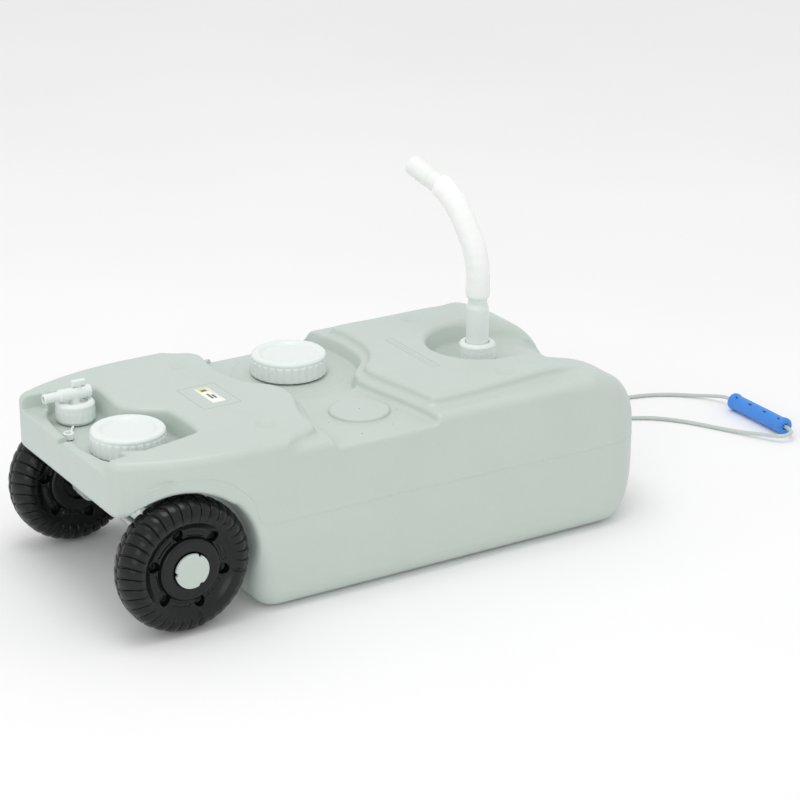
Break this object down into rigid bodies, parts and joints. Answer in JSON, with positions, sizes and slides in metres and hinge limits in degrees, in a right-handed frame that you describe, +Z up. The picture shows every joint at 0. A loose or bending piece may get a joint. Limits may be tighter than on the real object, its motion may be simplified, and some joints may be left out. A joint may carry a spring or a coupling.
{
  "type": "portable waste tote",
  "caption": "Low grey moulded waste tank on wheels with screw caps, a small tap, a swivelling curved spout and a tow rope with a blue grip.",
  "frame": {"origin": "middle of the tank's flat underside, on the floor the tote stands on", "axes": "+X along the tank towards the tow rope, +Y across it towards the inlet cap, +Z up"},
  "size_m": [1.2052, 0.404, 0.4944],
  "materials": {
    "tank": "satin blow-moulded polyethylene, pale grey-green",
    "cap": "satin white polypropylene",
    "seal": "matt black rubber",
    "hose": "soft milky white moulded pipe",
    "wheel": "satin black moulded plastic",
    "hub_cap": "satin pale grey plastic",
    "axle": "zinc-plated steel",
    "rope": "grey braided cord",
    "grip": "satin blue moulded plastic",
    "label": "glossy white vinyl label"
  },
  "bodies": {
    "tank": {"tank_shell": "tank", "axle_rod": "axle", "axle_washer_left": "axle", "axle_washer_right": "axle", "axle_nut_left": "axle", "axle_nut_right": "axle", "tow_rope": "rope", "label": "label"},
    "wheel_left": {"wheel_left": "wheel", "hub_cap_left": "hub_cap", "wheel_bush_inner_left": "hub_cap", "wheel_bush_outer_left": "hub_cap"},
    "wheel_right": {"wheel_right": "wheel", "hub_cap_right": "hub_cap", "wheel_bush_inner_right": "hub_cap", "wheel_bush_outer_right": "hub_cap"},
    "inlet_seal": {"inlet_gasket": "seal"},
    "inlet_cap": {"inlet_cap": "cap"},
    "drain_seal": {"drain_gasket": "seal"},
    "drain_cap": {"drain_cap": "cap"},
    "tap": {"tap_body": "cap", "tap_gasket": "seal"},
    "tap_collar": {"tap_collar": "cap"},
    "tap_handle": {"tap_handle": "cap"},
    "tap_tether": {"tap_tether_cap": "cap"},
    "spout_seal": {"spout_gasket": "seal"},
    "spout_collar": {"spout_collar": "cap"},
    "spout": {"spout_stem": "cap", "spout_hose": "hose", "spout_nozzle": "hose"},
    "grip": {"tow_grip": "grip"}
  },
  "joints": [
    {"name": "wheel_left_spin", "type": "hinge", "parent": "tank", "child": "wheel_left", "pos_m": [-0.385, 0.17, 0.0934], "axis": [0, 1, 0], "continuous": true},
    {"name": "wheel_right_spin", "type": "hinge", "parent": "tank", "child": "wheel_right", "pos_m": [-0.385, -0.17, 0.0934], "axis": [0, 1, 0], "continuous": true},
    {"name": "inlet_cap_lift", "type": "slide", "parent": "tank", "child": "inlet_seal", "axis": [0, 0, 1], "range_m": [0, 0.036]},
    {"name": "inlet_cap_turn", "type": "hinge", "parent": "inlet_seal", "child": "inlet_cap", "pos_m": [-0.076, 0.099, 0.226], "axis": [0, 0, 1], "range_deg": [0, 2160]},
    {"name": "drain_cap_lift", "type": "slide", "parent": "tank", "child": "drain_seal", "axis": [0, 0, 1], "range_m": [0, 0.036]},
    {"name": "drain_cap_turn", "type": "hinge", "parent": "drain_seal", "child": "drain_cap", "pos_m": [-0.393, -0.038, 0.224], "axis": [0, 0, 1], "range_deg": [0, 2160]},
    {"name": "tap_lift", "type": "slide", "parent": "tank", "child": "tap", "axis": [0, 0, 1], "range_m": [0, 0.03]},
    {"name": "tap_collar_turn", "type": "hinge", "parent": "tap", "child": "tap_collar", "pos_m": [-0.409, 0.093, 0.224], "axis": [0, 0, 1], "range_deg": [0, 1800]},
    {"name": "tap_handle_turn", "type": "hinge", "parent": "tap", "child": "tap_handle", "pos_m": [-0.403, 0.093, 0.26], "axis": [0, 0, 1], "range_deg": [0, 90]},
    {"name": "tether_swivel", "type": "hinge", "parent": "tank", "child": "tap_tether", "pos_m": [-0.409, 0.093, 0.2096], "axis": [0, 0, 1], "range_deg": [0, 35]},
    {"name": "spout_lift", "type": "slide", "parent": "tank", "child": "spout_seal", "axis": [0, 0, 1], "range_m": [0, 0.03]},
    {"name": "spout_collar_turn", "type": "hinge", "parent": "spout_seal", "child": "spout_collar", "pos_m": [0.178, 0, 0.228], "axis": [0, 0, 1], "range_deg": [0, 1800]},
    {"name": "spout_swivel", "type": "hinge", "parent": "spout_seal", "child": "spout", "pos_m": [0.178, 0, 0.24], "axis": [0, 0, 1], "continuous": true},
    {"name": "grip_roll", "type": "hinge", "parent": "tank", "child": "grip", "pos_m": [0.713, 0.01, 0.014], "axis": [0, 1, 0], "continuous": true}
  ],
  "couplings": [
    {"joint": "inlet_cap_lift", "follows": "inlet_cap_turn", "m_per_rad": 0.00095493},
    {"joint": "drain_cap_lift", "follows": "drain_cap_turn", "m_per_rad": 0.00095493},
    {"joint": "tap_lift", "follows": "tap_collar_turn", "m_per_rad": 0.00095493},
    {"joint": "spout_lift", "follows": "spout_collar_turn", "m_per_rad": 0.00095493}
  ]
}
